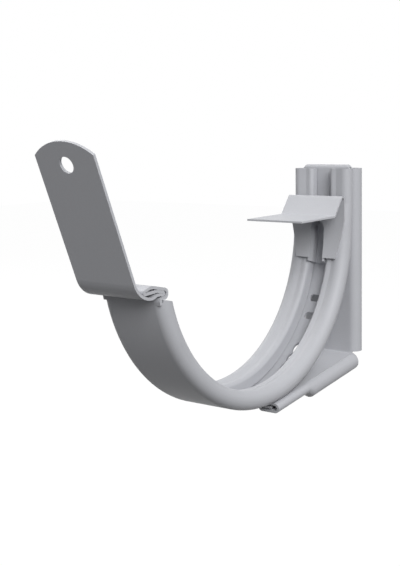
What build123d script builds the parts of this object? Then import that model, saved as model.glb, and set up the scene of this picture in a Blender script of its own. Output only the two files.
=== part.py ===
"""Half-round gutter bracket, folded from one strip of coated sheet steel, with a spring clip
of thinner sheet at the back.

Frame: X points out from the wall, Y runs along the gutter and Z is up. The origin is the
centre of the gutter's half circle, in the middle of the strip. Millimetres.
"""

import os
from math import asin, atan, cos, degrees, hypot, radians, sin, tan

from build123d import *

# The gutter and the strip
gutter_diameter = 125.0
gutter_clearance = 1.0  # room between the gutter and the beads, on each side
strip_width = 30.0
sheet = 1.1
depth = 8.2  # from the smooth face to the crests of the rolled sides
roll_flat = 0.3  # straight stretch between the two bends of a rolled side
hem_fall = 0.75  # the hems slope down from the crests towards the groove
hem_crease_radius = 2.0
lip_width = 3.0  # from the crease to the groove
lip_rise = 0.3
lip_bend_radius = 1.2
groove_width = 9.2
lip_gap = 0.6  # between the turned-in lip and the groove floor

# The upright, the wall leg and the strut
upright_height = 26.1
upright_depth = 6.3  # the upright is rolled flatter than the band
upright_taper_height = 10.0
ply_gap = 1.4  # between the upright and the wall leg
fold_web_width = 24.8
fold_web_taper = 1.3
strut_slope = 8.35
strut_press = 0.06  # depth of the bearing between strut and band
strut_inner_radius = 1.0
strut_front_overrun = 4.0  # past the line where the strut touches the band
strut_rear_overhang = 1.4
strut_end_radius = 3.0
joggle_setback = 25.3  # before the line where the strut touches the band
joggle_length = 4.5
flat_layers = 3
flat_layer_gap = 0.6
flat_loop_void = 1.9  # where the crushed lip stops short of the side loop
flat_seam = 0.02  # straight stretch left at the middle of a crushed side

# The folded nose, the bead seat and the tongue
nose_angle = -14.7  # where the strip's base turns in, round the gutter's centre
nose_tilt = 12.0  # the layers rise outwards
nose_bend_radius = 1.1
layer_gap = 0.03
nose_inner = 0.95  # these four lie this far outside the circle of the crests
nose_small_loop = 3.35
nose_join = 7.3
nose_shoulder = 10.5
nose_shoulder_radius = 6.5
nose_fall = 18.0  # slope of the top layer beyond the shoulder
nose_fall_length = 4.3
nose_front_step = 1.08
nose_front_radius = 0.57
nose_join_radius = 4.0
seat_setout = 10.3
seat_rise = 0.55  # the seat's lowest point, above the layer that turns in
seat_dip = 27.0
seat_radius = 9.9
tongue_lean = 22.75
tongue_length = 55.4
tongue_width = 28.1
tongue_crown = 5.2
tongue_hole_radius = 3.15
tongue_hole_setback = 8.95

# Openings in the groove floor, as angles round the gutter's centre
oval_angles = (209.5, 216.9)
oval_width = 6.6
oval_height = 3.6
arch_first_angle = 231.6
arch_pitch = 5.05
arch_count = 4
arch_width = 6.4
arch_height = 2.0
arch_rise = 1.1

# Screw holes in the wall leg
screw_hole_radius = 2.75
screw_top_z = -18.0
screw_spacing = 22.0
screw_count = 2

# The rear clip
clip_sheet = 0.8
clip_width = 28.9
clip_foot_z = -15.6
clip_top_z = 13.6
clip_bend_radius = 1.4
clip_slope = 52.5
clip_slope_length = 9.45
clip_tab_slope = 1.1
clip_tab_length = 27.5
clip_taper_z = 3.0
clip_foot_width = 21.2
clip_tongue_extra = 1.5
clip_groove_clearance = 0.2
clip_recess_top_z = 2.6

# What follows from them
inner_radius = gutter_diameter / 2 + gutter_clearance
outer_radius = inner_radius + depth
floor_radius = outer_radius - sheet
base_radius = outer_radius - sheet / 2
layer_pitch = sheet + layer_gap
leg_face_x = -outer_radius - ply_gap
wall_x = leg_face_x - depth
crease_y = groove_width / 2 + sheet / 2 + lip_width
flat_pitch = sheet + flat_layer_gap
flat_depth = (flat_layers - 1) * flat_pitch + sheet


def radial_plane(angle):
    """A plane across the band at an angle round the gutter: x along Y, y towards the centre."""
    out = (cos(radians(angle)), 0, sin(radians(angle)))
    along = (-sin(radians(angle)), 0, cos(radians(angle)))
    return Plane(origin=tuple(outer_radius * c for c in out), x_dir=(0, 1, 0), z_dir=along)


def rolled_side(height):
    """The bend of a rolled side, and how steeply its hem falls from the crest to the crease."""
    bend = (height - sheet - roll_flat) / 2
    run = strip_width / 2 - sheet / 2 - bend - crease_y
    drop = bend - hem_fall
    return bend, asin(bend / hypot(run, drop)) - atan(drop / run)


def channel_section(plane, height=depth, pressed=False):
    """The strip's section: a base whose edges are rolled round and turned in to hems and lips.

    The hems slope down from their crests, or are pressed flat where they lie on the wall.
    """
    middle = sheet / 2
    side = strip_width / 2 - middle
    lip = groove_width / 2 + middle
    side_bend, hem_slope = rolled_side(height)
    crease = height - middle - hem_fall
    crest = crease + tan(hem_slope) * (side - crease_y)
    if pressed:
        hem = [(side, height - middle), (lip, height - middle)]
        bends = [side_bend, lip_bend_radius]
    else:
        hem = [(side, crest), (crease_y, crease), (lip, crease + lip_rise)]
        bends = [side_bend, hem_crease_radius, lip_bend_radius]
    with BuildSketch(plane) as section:
        with BuildLine():
            FilletPolyline(
                (0, middle),
                (side, middle),
                *hem,
                (lip, sheet + lip_gap),
                radius=[side_bend, *bends],
            )
        trace(line_width=sheet)
        mirror(about=Plane.YZ)
    return section.sketch


def flat_section(plane):
    """The same section pressed flat: base, crushed lip and hem, with a loop at each side."""
    half = strip_width / 2
    middle = sheet / 2
    side = half - middle
    lip = groove_width / 2 + middle
    hem = flat_depth - middle
    lip_layer = middle + flat_pitch
    side_bend = (hem - middle) / 2 - 0.01
    lip_bend = (hem - lip_layer) / 2 - 0.01
    with BuildSketch(plane) as section:
        with BuildLine():
            FilletPolyline(
                (0, middle),
                (side, middle),
                (side, hem),
                (lip, hem),
                (lip, lip_layer),
                (side - side_bend - flat_loop_void, lip_layer),
                radius=[side_bend, side_bend, lip_bend, lip_bend],
            )
        trace(line_width=sheet)
        mirror(about=Plane.YZ)
    return section.sketch


def leg_plane(z):
    """A plane across the wall leg: x along Y, y from its smooth face to the wall."""
    return Plane(origin=(leg_face_x, 0, z), x_dir=(0, -1, 0), z_dir=(0, 0, -1))


def tangent_plane(angle):
    """A plane on the band's smooth face: x along Y, y up the band, looking at the centre."""
    out = Vector(cos(radians(angle)), 0, sin(radians(angle)))
    return Plane(origin=out * outer_radius, x_dir=(0, 1, 0), z_dir=-out)


def web_section(plane, width):
    """The plain sheet of a fold, where the hems are notched away."""
    with BuildSketch(plane) as section:
        Rectangle(width, sheet, align=(Align.CENTER, Align.MIN))
    return section.sketch


def joggle_section(plane, corner, crease, rounding):
    """One hem's outline at an end of the joggle: a round side and a hem that falls inwards."""
    half = strip_width / 2
    lip = groove_width / 2
    with BuildSketch(plane) as section:
        with BuildLine():
            FilletPolyline(
                (lip, 0), (half, 0), (half, corner), (crease_y, crease), radius=[rounding, rounding]
            )
            Polyline((crease_y, crease), (lip, crease), (lip, 0))
        make_face()
    return section.sketch


# The strut's smooth face runs along the band's underside, and bears on it where they touch.
slope = radians(strut_slope)
touch_radius = outer_radius - strut_press
touch = Vector(-touch_radius * sin(slope), 0, -touch_radius * cos(slope))
strut_along = Vector(cos(slope), 0, -sin(slope))
strut_up = Vector(sin(slope), 0, cos(slope))


def strut_point(x):
    """The point of the strut's smooth face that lies at x."""
    return touch + strut_along * ((x - touch.X) / cos(slope))


def strut_plane(x):
    """A plane across the strut: x along Y, y from its smooth face down to the hems."""
    return Plane(origin=strut_point(x), x_dir=(0, -1, 0), z_dir=strut_along)


def strut_length(start_x, end_x):
    """Length along the strut between two places."""
    return (end_x - start_x) / cos(slope)


joggle_x = touch.X - joggle_setback
joggle_end_x = joggle_x + joggle_length
strut_front_x = touch.X + strut_front_overrun
strut_fold_x = leg_face_x + strut_inner_radius * (1 - sin(slope))
strut_fold_centre = strut_point(strut_fold_x) + strut_up * strut_inner_radius
strut_rear_x = leg_face_x - strut_rear_overhang

# The nose's layers rise outwards along layer_way, and lie on each other along layer_up.
tilt = radians(nose_tilt)
layer_way = Vector(cos(tilt), sin(tilt))
layer_up = Vector(-sin(tilt), cos(tilt))
turn_radius = base_radius - nose_bend_radius
turn_centre = Vector(cos(radians(nose_angle)), sin(radians(nose_angle))) * turn_radius
turn_end = turn_centre + layer_up * nose_bend_radius
hem_end = turn_end - layer_up * (sheet / 2 + layer_gap)
rise_margin = 2.0  # the round sweep goes this many degrees on, and is then cut level
base_trim = 0.5  # degrees by which the rolled base ends before the bend


def on_layer(number, x):
    """The point at x on a layer's middle line, counted from the layer that turns in."""
    foot = turn_end + layer_up * (number * layer_pitch)
    return foot + layer_way * ((x - foot.X) / cos(tilt))


def flat_point(point):
    """The two coordinates of a point in the nose's drawing."""
    return (point.X, point.Y)


with BuildPart() as strap:
    # Band, whose hems are cut level under the nose
    sweep_start = nose_angle + rise_margin
    revolve(
        channel_section(radial_plane(sweep_start)),
        axis=Axis.Y,
        revolution_arc=180 + sweep_start,
    )
    base_end = radians(nose_angle - base_trim)
    base_out = Vector(cos(base_end), sin(base_end))
    far_in = hem_end - layer_way * 3 * depth
    far_out = base_out * (outer_radius + depth)
    with BuildSketch(Plane.XZ):
        with BuildLine():
            Polyline(
                flat_point(far_in),
                flat_point(hem_end),
                flat_point(base_out * turn_radius),
                flat_point(far_out),
                flat_point(far_out + layer_up * 2 * depth),
                flat_point(far_in + layer_up * 2 * depth),
                close=True,
            )
        make_face()
    extrude(amount=strip_width, both=True, mode=Mode.SUBTRACT)

    # Upright, which gets flatter above the band
    upright_foot = Plane(origin=(-outer_radius, 0, 0), x_dir=(0, -1, 0), z_dir=(0, 0, 1))
    taper_top = upright_foot.offset(upright_taper_height)
    loft(
        [channel_section(upright_foot), channel_section(taper_top, upright_depth)],
        ruled=True,
    )
    extrude(
        channel_section(taper_top, upright_depth),
        amount=upright_height - upright_taper_height,
    )

    # Strut: full section with a round rear end, joggle and flattened end
    extrude(channel_section(strut_plane(strut_rear_x)), amount=strut_length(strut_rear_x, joggle_x))
    rear_corner = strut_point(strut_rear_x) - strut_up * depth
    with BuildSketch(Plane(origin=rear_corner, x_dir=strut_along, z_dir=(0, -1, 0))):
        with BuildLine():
            corner = Polyline((strut_end_radius, 0), (0, 0), (0, strut_end_radius))
            RadiusArc(corner @ 1, corner @ 0, -strut_end_radius)
        make_face()
    extrude(amount=strip_width, both=True, mode=Mode.SUBTRACT)
    with BuildSketch(strut_plane(strut_rear_x)):
        Rectangle(fold_web_width, sheet * 2, align=(Align.CENTER, Align.CENTER))
    extrude(amount=strut_length(strut_rear_x, strut_fold_x), mode=Mode.SUBTRACT)
    side_bend, hem_slope = rolled_side(depth)
    hem_crease = depth - hem_fall
    hem_corner = hem_crease + tan(hem_slope) * (strip_width / 2 - crease_y)
    loft(
        [
            joggle_section(strut_plane(joggle_x), hem_corner, hem_crease, side_bend + sheet / 2),
            joggle_section(
                strut_plane(joggle_end_x), flat_depth, flat_depth, flat_depth / 2 - flat_seam
            ),
        ],
        ruled=True,
    )
    mirror(about=Plane.XZ)
    extrude(
        web_section(strut_plane(strut_fold_x), fold_web_width),
        amount=strut_length(strut_fold_x, joggle_end_x),
    )
    extrude(
        flat_section(strut_plane(joggle_end_x)),
        amount=strut_length(joggle_end_x, strut_front_x),
    )

    # Wall leg, with the two folds that join it to the upright and to the strut
    leg_foot_z = strut_fold_centre.Z
    extrude(
        channel_section(leg_plane(upright_height), pressed=True),
        amount=upright_height - leg_foot_z,
    )
    revolve(
        web_section(leg_plane(leg_foot_z), fold_web_width),
        axis=Axis(strut_fold_centre, (0, -1, 0)),
        revolution_arc=90 - strut_slope,
    )
    revolve(
        web_section(upright_foot.offset(upright_height), fold_web_width),
        axis=Axis((-outer_radius - ply_gap / 2, 0, upright_height), (0, -1, 0)),
        revolution_arc=180,
    )
    fold_top_z = upright_height + ply_gap / 2 + sheet
    with BuildSketch(Plane.YZ.offset(wall_x)):
        with BuildLine():
            Polyline(
                (fold_web_width / 2, upright_height),
                (fold_web_width / 2, fold_top_z),
                (fold_web_width / 2 - fold_web_taper, fold_top_z),
                close=True,
            )
        make_face()
        mirror(about=Plane.YZ)
    extrude(amount=2 * depth, mode=Mode.SUBTRACT)

    # Nose, bead seat and tongue, folded from the plain end of the strip
    outer_loop = 1.5 * layer_pitch
    inner_end = inner_radius + nose_inner + outer_loop + sheet / 2
    loop_corner = inner_end - outer_loop * (cos(tilt) - sin(tilt))
    fall = radians(nose_fall)
    shoulder = on_layer(3, inner_radius + nose_shoulder)
    front = shoulder + Vector(cos(fall), -sin(fall)) * nose_fall_length
    under = front + Vector(-sin(fall), -cos(fall)) * nose_front_step
    small_loop_x = inner_radius + nose_small_loop

    # Where the third layer ends, so that its dip reaches the seat's lowest point
    seat_x = inner_radius + seat_setout
    third = on_layer(1, seat_x)
    dip = radians(seat_dip)
    dip_run = sin(tilt) + 2 * sin(dip)
    dip_fall = 1 + cos(tilt) - 2 * cos(dip)
    dip_radius = (third.Y - turn_end.Y - seat_rise) / (dip_fall + dip_run * tan(tilt))
    third_end = on_layer(1, seat_x - dip_radius * dip_run)

    with BuildSketch(Plane.XZ):
        with BuildLine():
            rise_start = nose_angle - 2 * base_trim
            rise = CenterArc((0, 0), base_radius, rise_start, nose_angle - rise_start)
            turn_in = JernArc(rise @ 1, rise % 1, nose_bend_radius, 90 + nose_tilt - nose_angle)
            FilletPolyline(
                turn_in @ 1,
                flat_point(on_layer(0, loop_corner)),
                flat_point(on_layer(0, loop_corner) + layer_up * 3 * layer_pitch),
                flat_point(shoulder),
                flat_point(front),
                flat_point(under),
                flat_point(on_layer(2, inner_radius + nose_join)),
                flat_point(on_layer(2, small_loop_x)),
                flat_point(on_layer(2, small_loop_x) - layer_up * layer_pitch),
                flat_point(third_end),
                radius=[
                    outer_loop - 0.01,
                    outer_loop - 0.01,
                    nose_shoulder_radius,
                    nose_front_radius,
                    nose_front_radius,
                    nose_join_radius,
                    layer_pitch / 2 - 0.01,
                    layer_pitch / 2 - 0.01,
                ],
            )
            dip_down = JernArc(flat_point(third_end), layer_way, dip_radius, -nose_tilt - seat_dip)
            dip_up = JernArc(dip_down @ 1, dip_down % 1, dip_radius, seat_dip)
            seat = JernArc(dip_up @ 1, (1, 0), seat_radius, 90 - tongue_lean)
            tongue_line = Line(seat @ 1, seat @ 1 + (seat % 1) * tongue_length)
        trace(line_width=sheet)
    extrude(amount=tongue_width / 2, both=True)

    tip = tongue_line @ 1
    lean = radians(tongue_lean)
    tongue_tip = Plane(
        origin=(tip.X, 0, tip.Y), x_dir=(0, 1, 0), z_dir=(cos(lean), 0, -sin(lean))
    )
    half_tongue = tongue_width / 2
    with BuildSketch(tongue_tip):
        with BuildLine():
            crown = ThreePointArc((-half_tongue, -tongue_crown), (0, 0), (half_tongue, -tongue_crown))
            Polyline(crown @ 1, (half_tongue, sheet), (-half_tongue, sheet), crown @ 0)
        make_face()
        with Locations((0, -tongue_hole_setback)):
            Circle(tongue_hole_radius)
    extrude(amount=sheet, both=True, mode=Mode.SUBTRACT)

    # Oval and arched openings in the groove floor
    for angle in oval_angles:
        with BuildSketch(tangent_plane(angle)):
            SlotOverall(oval_width, oval_height)
        extrude(amount=sheet + lip_gap / 2, both=True, mode=Mode.SUBTRACT)
    arch_half = (arch_width - arch_height) / 2
    for copy in range(arch_count):
        with BuildSketch(tangent_plane(arch_first_angle + copy * arch_pitch)):
            foot_z = -arch_rise / 2
            bow = ThreePointArc((-arch_half, foot_z), (0, -foot_z), (arch_half, foot_z))
            SlotArc(bow, arch_height)
        extrude(amount=sheet + lip_gap / 2, both=True, mode=Mode.SUBTRACT)

    # Screw holes in the wall leg's groove floor
    with BuildSketch(Plane.YZ.offset(leg_face_x)):
        for copy in range(screw_count):
            with Locations((0, screw_top_z - copy * screw_spacing)):
                Circle(screw_hole_radius)
    extrude(amount=-sheet, mode=Mode.SUBTRACT)

strap.part.label = "strap"


# The rear clip: a plate on the hem crests, a trough pressed into the groove and a tab.
plate_radius = inner_radius - clip_sheet / 2
foot_angle = -degrees(asin(clip_foot_z / inner_radius))
tongue_angle = -degrees(asin((clip_foot_z - clip_tongue_extra) / inner_radius))
trough_half = groove_width / 2 - clip_groove_clearance
top_bend_turn = 90 + clip_slope
tab_bend_turn = clip_slope - clip_tab_slope
clip_bend_z = clip_top_z - clip_sheet / 2 - clip_bend_radius


def trough_side(start_radius, end_radius):
    """The trough seen from the side, between two radii of the band."""
    with BuildSketch(Plane.XZ) as side:
        with BuildLine():
            outside = CenterArc((0, 0), end_radius, 180, tongue_angle)
            inside = CenterArc((0, 0), start_radius, 180, tongue_angle)
            Line(outside @ 1, inside @ 1)
            Polyline(
                outside @ 0,
                (-end_radius, clip_recess_top_z),
                (-start_radius, clip_recess_top_z),
                inside @ 0,
            )
        make_face()
    return side.sketch


def trough_face(half_width):
    """The trough seen from the front: straight sides under a round top."""
    with BuildSketch(Plane.YZ) as face:
        with Locations((0, clip_recess_top_z - trough_half)):
            Circle(half_width)
            Rectangle(2 * half_width, gutter_diameter / 2, align=(Align.CENTER, Align.MAX))
    return face.sketch


with BuildPart() as trough_outside:
    extrude(trough_side(plate_radius, floor_radius), amount=groove_width, both=True)
    extrude(trough_face(trough_half), amount=-outer_radius, mode=Mode.INTERSECT)

with BuildPart() as trough_inside:
    inside_width = trough_half - clip_sheet
    extrude(
        trough_side(plate_radius - clip_sheet, floor_radius - clip_sheet),
        amount=groove_width,
        both=True,
    )
    extrude(trough_face(inside_width), amount=-outer_radius, mode=Mode.INTERSECT)

with BuildPart() as rear_clip:
    with BuildSketch(Plane.XZ):
        with BuildLine():
            foot = CenterArc((0, 0), plate_radius, 180 + foot_angle, -foot_angle)
            plate = Line(foot @ 1, (-plate_radius, clip_bend_z))
            top_bend = JernArc(plate @ 1, (0, 1), clip_bend_radius, -top_bend_turn)
            apron = Line(top_bend @ 1, top_bend @ 1 + (top_bend % 1) * clip_slope_length)
            tab_bend = JernArc(apron @ 1, apron % 1, clip_bend_radius, tab_bend_turn)
            Line(tab_bend @ 1, tab_bend @ 1 + (tab_bend % 1) * clip_tab_length)
        trace(line_width=clip_sheet)
    extrude(amount=clip_width / 2, both=True)
    with BuildSketch(Plane.YZ.offset(-outer_radius)):
        with BuildLine():
            Polyline(
                (clip_width / 2, clip_taper_z),
                (clip_width, clip_taper_z),
                (clip_width, 2 * clip_foot_z),
                (clip_foot_width / 2, 2 * clip_foot_z),
                (clip_foot_width / 2, clip_foot_z),
                close=True,
            )
        make_face()
        mirror(about=Plane.YZ)
    extrude(amount=outer_radius - inner_radius + 4 * clip_sheet, mode=Mode.SUBTRACT)
    add(trough_outside.part)
    add(trough_inside.part, mode=Mode.SUBTRACT)

rear_clip.part.label = "rear_clip"

os.makedirs("parts", exist_ok=True)
for piece in (strap, rear_clip):
    export_step(piece.part, f"parts/{piece.part.label}.step")
    print(piece.part.label, "volume", round(piece.part.volume), "mm3")
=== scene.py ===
# %% [markdown]
# Half-round gutter bracket
#
# The bracket is one strip of coated sheet steel, rolled to a channel with round sides and
# folded into a hook for the gutter, and a small clip of thinner sheet at the back. The shape
# comes ready made, at its real size. What is left to do here is the finish of the coating, the
# light and the camera.

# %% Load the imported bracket
import math

import bmesh
import bpy
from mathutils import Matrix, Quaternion, Vector


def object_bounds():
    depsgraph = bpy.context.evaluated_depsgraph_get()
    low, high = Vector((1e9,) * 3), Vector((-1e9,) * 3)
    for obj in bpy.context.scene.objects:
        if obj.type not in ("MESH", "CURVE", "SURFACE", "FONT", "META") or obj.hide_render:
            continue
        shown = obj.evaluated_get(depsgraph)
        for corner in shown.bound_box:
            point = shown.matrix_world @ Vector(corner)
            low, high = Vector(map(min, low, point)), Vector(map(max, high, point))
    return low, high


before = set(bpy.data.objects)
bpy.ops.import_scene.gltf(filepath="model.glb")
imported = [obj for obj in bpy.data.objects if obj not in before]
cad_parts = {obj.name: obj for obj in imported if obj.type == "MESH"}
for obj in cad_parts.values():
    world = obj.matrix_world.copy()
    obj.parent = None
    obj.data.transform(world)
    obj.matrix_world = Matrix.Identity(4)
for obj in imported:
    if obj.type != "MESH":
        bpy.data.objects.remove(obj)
cad_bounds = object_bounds()
MM = 0.001
for name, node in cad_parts.items():
    print(name, "has", len(node.data.polygons), "triangles")

# %% [markdown]
# The camera
#
# A photograph taken near an object shows it in perspective. The bracket was seen from the
# front right, a little from above, so the camera goes to that side and looks a little down.
# Its place and lens are worked out from the strip's own edges, and the object stays where it is.

# %% Set up the camera
CAMERA_PLACE = (355.66 * MM, 254.96 * MM, 42.27 * MM)
CAMERA_AZIMUTH = 127.80
CAMERA_LOOKS_DOWN = 4.214
CAMERA_ROLL = -0.622
IMAGE_HEIGHT = 566
FOCAL_PIXELS = 1041.08
HORIZON_SHIFT = -0.1254  # the photograph is cut from a larger frame, above its middle
SENSOR = 36.0


def look_direction(azimuth, down):
    """The way a camera looks that stands at this azimuth and looks down by this angle."""
    a, e = math.radians(azimuth), math.radians(down)
    return Vector((-math.sin(a) * math.cos(e), math.cos(a) * math.cos(e), -math.sin(e)))


def set_up_camera():
    """The camera of the photograph. Its sensor width belongs to the image's long side."""
    data = bpy.data.cameras.new("camera")
    data.sensor_width = SENSOR
    data.lens = FOCAL_PIXELS / IMAGE_HEIGHT * SENSOR
    data.shift_y = HORIZON_SHIFT
    data.clip_start = 0.01
    camera = bpy.data.objects.new("camera", data)
    bpy.context.scene.collection.objects.link(camera)
    direction = look_direction(CAMERA_AZIMUTH, CAMERA_LOOKS_DOWN)
    turn = direction.to_track_quat("-Z", "Y")
    roll = Quaternion((0, 0, 1), math.radians(CAMERA_ROLL))
    camera.rotation_mode = "QUATERNION"
    camera.rotation_quaternion = turn @ roll
    camera.location = CAMERA_PLACE
    bpy.context.scene.camera = camera
    return camera


camera = set_up_camera()
print("lens", round(camera.data.lens, 2), "mm")

# %% [markdown]
# Shader maths
#
# A material is a small program made of nodes. A class that wraps a socket lets such a program be
# written as plain sums, so that `0.4 + 0.1 * noise` adds the two Math nodes by itself.


# %% Wrap sockets so that they take Python's operators
class Shader:
    """The node tree of one material."""

    def __init__(self, name):
        self.material = bpy.data.materials.new(name)
        self.material.use_nodes = True
        self.tree = self.material.node_tree
        self.tree.nodes.clear()

    def node(self, kind, settings=None, **inputs):
        """A node with its settings made first, and then its sockets given values or links."""
        made = self.tree.nodes.new(kind)
        for key, value in (settings or {}).items():
            setattr(made, key, value)
        for key, value in inputs.items():
            slot = int(key[1:]) if key[1:].isdigit() else key.replace("_", " ")
            self.feed(made.inputs[slot], value)
        return made

    def feed(self, slot, value):
        """Puts a value or a wrapped socket into a node's input."""
        if isinstance(value, Socket):
            self.tree.links.new(value.socket, slot)
        else:
            slot.default_value = value

    def read(self, node, output=0):
        """A node's output as a socket for sums."""
        return Socket(self, node.outputs[output])


class Socket:
    """An output socket that adds Math nodes when it is used in a sum."""

    def __init__(self, shader, socket):
        self.shader = shader
        self.socket = socket

    def maths(self, operation, first, second):
        made = self.shader.node("ShaderNodeMath", {"operation": operation}, _0=first, _1=second)
        return self.shader.read(made)

    def __add__(self, other):
        return self.maths("ADD", self, other)

    def __radd__(self, other):
        return self.maths("ADD", other, self)

    def __sub__(self, other):
        return self.maths("SUBTRACT", self, other)

    def __rsub__(self, other):
        return self.maths("SUBTRACT", other, self)

    def __mul__(self, other):
        return self.maths("MULTIPLY", self, other)

    def __rmul__(self, other):
        return self.maths("MULTIPLY", other, self)


# %% [markdown]
# The coating
#
# The strip is painted in the coil, before it is folded. The coat is thin and smooth, between
# matt and satin, with a fine even grain that only shows close up. It is a slightly blue grey.


# %% Make the coating's material
GRAIN = 0.05
CLOUD_SCALE = 90.0
SPECK_SCALE = 1400.0
BUMP_HEIGHT = 0.04 * MM


def coated_sheet(name, colour):
    """Grey coil coating: an even colour with a fine grain, and a satin surface."""
    shader = Shader(name)
    place = shader.read(shader.node("ShaderNodeTexCoord"), "Object")
    cloud = shader.node(
        "ShaderNodeTexNoise", Vector=place, Scale=CLOUD_SCALE, Detail=3.0, Roughness=0.6
    )
    fine = shader.node(
        "ShaderNodeTexNoise", Vector=place, Scale=SPECK_SCALE, Detail=2.0, Roughness=0.5
    )
    patch = shader.read(cloud, "Fac")
    speck = shader.read(fine, "Fac")
    level = 1.0 + GRAIN * (patch - 0.5) + 1.5 * GRAIN * (speck - 0.5)
    tint = shader.node("ShaderNodeVectorMath", {"operation": "SCALE"}, _0=colour[:3], Scale=level)
    bump = shader.node("ShaderNodeBump", Strength=0.12, Distance=BUMP_HEIGHT, Height=speck)
    paint = shader.node(
        "ShaderNodeBsdfPrincipled",
        Base_Color=shader.read(tint),
        Roughness=0.46 + 0.08 * patch,
        Specular_IOR_Level=0.3,
        Normal=shader.read(bump),
    )
    out = shader.node("ShaderNodeOutputMaterial")
    shader.tree.links.new(paint.outputs[0], out.inputs["Surface"])
    return shader.material


STRIP_GREY = (0.465, 0.472, 0.50, 1.0)
CLIP_GREY = (0.49, 0.497, 0.525, 1.0)
for node, material in (
    ("strap", coated_sheet("coated_strip", STRIP_GREY)),
    ("rear_clip", coated_sheet("coated_clip", CLIP_GREY)),
):
    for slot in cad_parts[node].material_slots:
        slot.material = material
    print(node, "is painted with", material.name)

# %% [markdown]
# Floor, background and light
#
# The floor lies well below the bracket, which a wall holds. It looks white to the camera and in
# gloss, and throws little light back up, so that the band's underside stays dark. The light
# comes from large soft lamps, as in a small studio.

# %% Lay the floor
FLOOR_DROP = 0.16
FLOOR_SIZE = 6.0
FLOOR_GREY = 0.05
FLOOR_GLOW = 0.97


def pale_floor():
    """A floor that glows white where the camera or a reflection sees it, and nowhere else."""
    shader = Shader("pale_floor")
    path = shader.node("ShaderNodeLightPath")
    seen = shader.read(shader.node(
        "ShaderNodeMath", {"operation": "MAXIMUM"},
        _0=shader.read(path, "Is Camera Ray"), _1=shader.read(path, "Is Glossy Ray"),
    ))
    plain = shader.node("ShaderNodeBsdfDiffuse", Color=(FLOOR_GREY,) * 3 + (1.0,))
    glow = shader.node("ShaderNodeEmission", Color=(1, 1, 1, 1), Strength=seen * FLOOR_GLOW)
    both = shader.node("ShaderNodeAddShader")
    shader.tree.links.new(plain.outputs[0], both.inputs[0])
    shader.tree.links.new(glow.outputs[0], both.inputs[1])
    out = shader.node("ShaderNodeOutputMaterial")
    shader.tree.links.new(both.outputs[0], out.inputs["Surface"])
    return shader.material


def lay_floor():
    """One large square under the bracket."""
    mesh = bpy.data.meshes.new("floor")
    shape = bmesh.new()
    bmesh.ops.create_grid(shape, x_segments=1, y_segments=1, size=FLOOR_SIZE / 2)
    height = cad_bounds[0].z - FLOOR_DROP
    bmesh.ops.translate(shape, verts=shape.verts, vec=(0, 0, height))
    shape.to_mesh(mesh)
    shape.free()
    floor = bpy.data.objects.new("floor", mesh)
    bpy.context.scene.collection.objects.link(floor)
    mesh.materials.append(pale_floor())
    return floor


floor = lay_floor()
print("the floor lies at", round(floor.data.vertices[0].co.z, 3), "m")


# %% Light the studio
def white_world(light):
    """White where the camera or a reflection sees it, and a grey light on everything else."""
    world = bpy.data.worlds.new("studio")
    bpy.context.scene.world = world
    world.use_nodes = True
    tree = world.node_tree
    tree.nodes.clear()
    path = tree.nodes.new("ShaderNodeLightPath")
    seen = tree.nodes.new("ShaderNodeMath")
    seen.operation = "MAXIMUM"
    tree.links.new(path.outputs["Is Camera Ray"], seen.inputs[0])
    tree.links.new(path.outputs["Is Glossy Ray"], seen.inputs[1])
    strength = tree.nodes.new("ShaderNodeMapRange")
    strength.inputs["To Min"].default_value = light
    strength.inputs["To Max"].default_value = 1.0
    tree.links.new(seen.outputs[0], strength.inputs["Value"])
    back = tree.nodes.new("ShaderNodeBackground")
    back.inputs["Color"].default_value = (1, 1, 1, 1)
    tree.links.new(strength.outputs[0], back.inputs["Strength"])
    out = tree.nodes.new("ShaderNodeOutputWorld")
    tree.links.new(back.outputs[0], out.inputs["Surface"])


def soft_lamp(name, azimuth, elevation, distance, size, power):
    """A square lamp that points at the origin from this azimuth and height."""
    data = bpy.data.lights.new(name, "AREA")
    data.shape = "SQUARE"
    data.size = size
    data.energy = power
    lamp = bpy.data.objects.new(name, data)
    bpy.context.scene.collection.objects.link(lamp)
    away = look_direction(azimuth, elevation)
    lamp.location = -away * distance
    lamp.rotation_mode = "QUATERNION"
    lamp.rotation_quaternion = away.to_track_quat("-Z", "Y")
    return lamp


WORLD_LIGHT = 0.33
white_world(WORLD_LIGHT)
soft_lamp("key", azimuth=147, elevation=32, distance=1.5, size=0.9, power=22)
soft_lamp("top", azimuth=180, elevation=80, distance=1.5, size=1.2, power=2)
soft_lamp("fill", azimuth=350, elevation=35, distance=1.5, size=1.2, power=12)
print("world and", len(bpy.data.lights), "lamps are on")

# %% Look
bpy.context.scene.view_settings.view_transform = "Standard"
